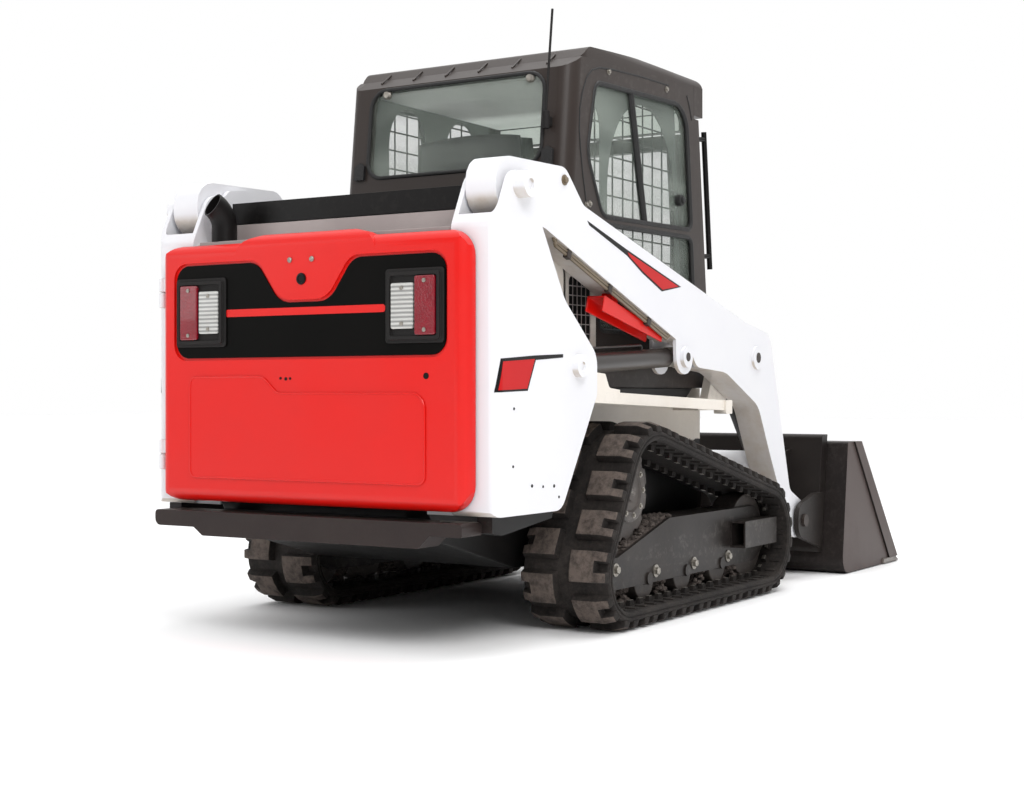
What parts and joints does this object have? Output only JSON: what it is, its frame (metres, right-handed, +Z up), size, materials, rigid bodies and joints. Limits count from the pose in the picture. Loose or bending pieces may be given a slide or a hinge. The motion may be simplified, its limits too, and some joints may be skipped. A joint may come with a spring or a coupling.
{
  "type": "compact track loader",
  "caption": "Compact track loader with an enclosed cab, radius-lift arms, hydraulic cylinders and a low bucket on a quick coupler.",
  "frame": {"origin": "on the ground under the middle of the overall length, on the centre plane", "axes": "+X forward to the bucket, +Y to the operator's left, +Z up"},
  "size_m": [3.207, 1.422, 1.953],
  "materials": {
    "white_paint": "satin, a little dusty",
    "grey_paint": "satin",
    "cream_paint": "satin, dusty",
    "orange_paint": "semi gloss",
    "charcoal_paint": "satin",
    "black_sheet": "matt",
    "engine_paint": "matt",
    "worn_steel": "worn",
    "rod_chrome": "polished",
    "track_rubber": "dusty",
    "window_glass": "clear, lightly tinted",
    "seat_vinyl": "matt vinyl",
    "console_plastic": "grained",
    "red_lens": "ribbed lens",
    "white_lens": "ribbed lens",
    "bucket_paint": "satin, scuffed",
    "edge_steel": "worn bright"
  },
  "bodies": {
    "chassis": {"upright_left": "white_paint", "upright_right": "white_paint", "gate_hinges": "white_paint", "rear_cover": "grey_paint", "main_frame": "cream_paint", "fender_left": "cream_paint", "fender_right": "cream_paint", "rear_bumper": "charcoal_paint", "track_frame_left": "charcoal_paint", "track_frame_right": "charcoal_paint", "cab_left": "charcoal_paint", "cab_right": "charcoal_paint", "cab_rear": "charcoal_paint", "cab_roof": "charcoal_paint", "cab_front": "charcoal_paint", "cab_floor": "charcoal_paint", "idlers": "charcoal_paint", "rollers": "charcoal_paint", "side_trays": "black_sheet", "side_screens": "black_sheet", "exhaust_pipe": "black_sheet", "grab_bars": "black_sheet", "engine": "engine_paint", "sprockets": "worn_steel", "track_left": "track_rubber", "track_right": "track_rubber", "cab_windows": "window_glass", "seat": "seat_vinyl", "controls": "console_plastic", "antenna": "console_plastic", "work_lamps": "white_lens"},
    "lift_arm": {"arm_left": "white_paint", "arm_right": "white_paint", "cross_tube": "white_paint", "arm_support": "orange_paint"},
    "tool": {"tool_carrier": "charcoal_paint", "bucket": "bucket_paint", "cutting_edge": "edge_steel"},
    "tailgate_body": {"tailgate": "orange_paint", "gate_straps": "white_paint", "gate_band": "black_sheet", "lamp_housings": "console_plastic", "red_lenses": "red_lens", "white_lenses": "white_lens"},
    "door": {"cab_door": "charcoal_paint", "door_glass": "window_glass"},
    "lid": {"rear_grille": "black_sheet"},
    "lift_barrel_left": {"lift_barrel_left": "charcoal_paint"},
    "lift_rod_left": {"lift_rod_left": "rod_chrome"},
    "tilt_barrel_left": {"tilt_barrel_left": "charcoal_paint"},
    "tilt_rod_left": {"tilt_rod_left": "rod_chrome"},
    "lift_barrel_right": {"lift_barrel_right": "charcoal_paint"},
    "lift_rod_right": {"lift_rod_right": "rod_chrome"},
    "tilt_barrel_right": {"tilt_barrel_right": "charcoal_paint"},
    "tilt_rod_right": {"tilt_rod_right": "rod_chrome"}
  },
  "joints": [
    {"name": "arm_lift", "type": "hinge", "parent": "chassis", "child": "lift_arm", "pos_m": [-1.4095, 0, 1.306], "axis": [0, -1, 0], "range_deg": [0, 65]},
    {"name": "tool_tilt", "type": "hinge", "parent": "lift_arm", "child": "tool", "pos_m": [0.7165, 0, 0.23], "axis": [0, 1, 0], "range_deg": [-25, 107]},
    {"name": "tailgate_swing", "type": "hinge", "parent": "chassis", "child": "tailgate_body", "pos_m": [-1.5455, 0.588, 0.8], "axis": [0, 0, -1], "range_deg": [0, 100]},
    {"name": "door_swing", "type": "hinge", "parent": "chassis", "child": "door", "pos_m": [0.2595, 0.388, 0.745], "axis": [-0.1045, 0, 0.9945], "range_deg": [0, 90]},
    {"name": "lid_lift", "type": "hinge", "parent": "chassis", "child": "lid", "pos_m": [-0.8535, 0, 1.318], "axis": [0, 1, 0], "range_deg": [0, 60]},
    {"name": "lift_barrel_left_swing", "type": "hinge", "parent": "chassis", "child": "lift_barrel_left", "pos_m": [-1.0835, 0.55, 0.806], "axis": [0, -1, 0], "range_deg": [0, 63.95]},
    {"name": "lift_rod_left_slide", "type": "slide", "parent": "lift_barrel_left", "child": "lift_rod_left", "axis": [0.9986, 0, 0.0534], "range_m": [0, 0.6416]},
    {"name": "tilt_barrel_left_swing", "type": "hinge", "parent": "lift_arm", "child": "tilt_barrel_left", "pos_m": [0.3065, 0.44, 0.857], "axis": [0, 1, 0], "range_deg": [-2.9, 2.9]},
    {"name": "tilt_rod_left_slide", "type": "slide", "parent": "tilt_barrel_left", "child": "tilt_rod_left", "axis": [0.6732, 0, -0.7395], "range_m": [-0.064, 0.2722]},
    {"name": "lift_barrel_right_swing", "type": "hinge", "parent": "chassis", "child": "lift_barrel_right", "pos_m": [-1.0835, -0.55, 0.806], "axis": [0, -1, 0], "range_deg": [0, 63.95]},
    {"name": "lift_rod_right_slide", "type": "slide", "parent": "lift_barrel_right", "child": "lift_rod_right", "axis": [0.9986, 0, 0.0534], "range_m": [0, 0.6416]},
    {"name": "tilt_barrel_right_swing", "type": "hinge", "parent": "lift_arm", "child": "tilt_barrel_right", "pos_m": [0.3065, -0.44, 0.857], "axis": [0, 1, 0], "range_deg": [-2.9, 2.9]},
    {"name": "tilt_rod_right_slide", "type": "slide", "parent": "tilt_barrel_right", "child": "tilt_rod_right", "axis": [0.6732, 0, -0.7395], "range_m": [-0.064, 0.2722]}
  ],
  "couplings": [
    {"joint": "lift_barrel_left_swing", "follows": "arm_lift", "ratio": 0.98301},
    {"joint": "lift_rod_left_slide", "follows": "arm_lift", "m_per_rad": 0.5651},
    {"joint": "tilt_barrel_left_swing", "follows": "tool_tilt", "ratio": 0.02244},
    {"joint": "tilt_rod_left_slide", "follows": "tool_tilt", "m_per_rad": 0.14549},
    {"joint": "lift_barrel_right_swing", "follows": "arm_lift", "ratio": 0.98301},
    {"joint": "lift_rod_right_slide", "follows": "arm_lift", "m_per_rad": 0.5651},
    {"joint": "tilt_barrel_right_swing", "follows": "tool_tilt", "ratio": 0.02244},
    {"joint": "tilt_rod_right_slide", "follows": "tool_tilt", "m_per_rad": 0.14549}
  ]
}
